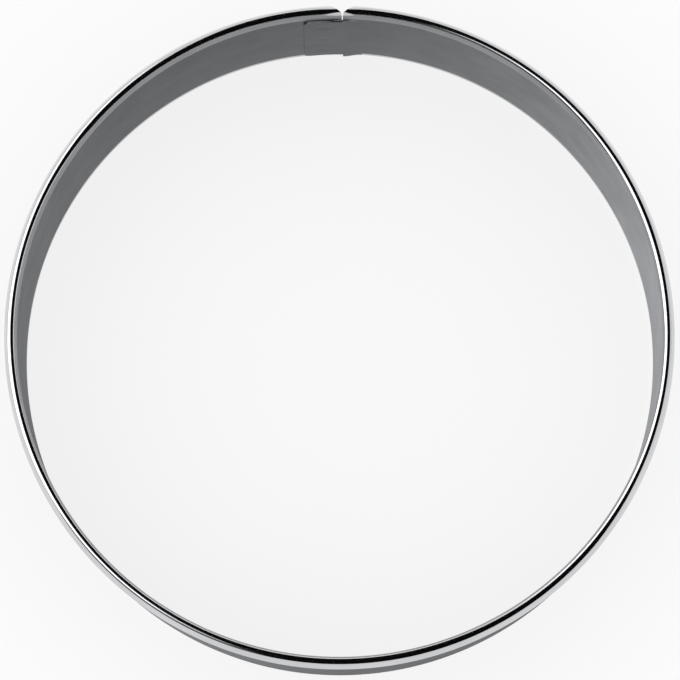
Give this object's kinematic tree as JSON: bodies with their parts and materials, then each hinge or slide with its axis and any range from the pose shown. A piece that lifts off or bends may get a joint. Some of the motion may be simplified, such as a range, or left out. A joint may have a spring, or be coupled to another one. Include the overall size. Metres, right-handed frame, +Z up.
{
  "type": "round biscuit cutter",
  "caption": "Plain round biscuit cutter: a thin stainless ring with a rolled upper rim, a spot-welded lap seam and a bevelled cutting edge.",
  "frame": {"origin": "centre of the ring in the plane of the cutting edge, on which it stands", "axes": "+Z up through the ring towards the rolled rim, +Y towards the lap seam"},
  "size_m": [0.0824, 0.0824, 0.0245],
  "materials": {
    "satin_wall": "cold-rolled satin stainless sheet",
    "polished_rim": "bright polished stainless roll",
    "weld_metal": "dull spot-weld dent",
    "ground_edge": "finely ground bevel"
  },
  "bodies": {
    "root": {"band_wall": "satin_wall", "rolled_rim": "polished_rim", "lap_tongue": "satin_wall", "spot_welds": "weld_metal", "cutting_edge": "ground_edge"}
  },
  "joints": []
}
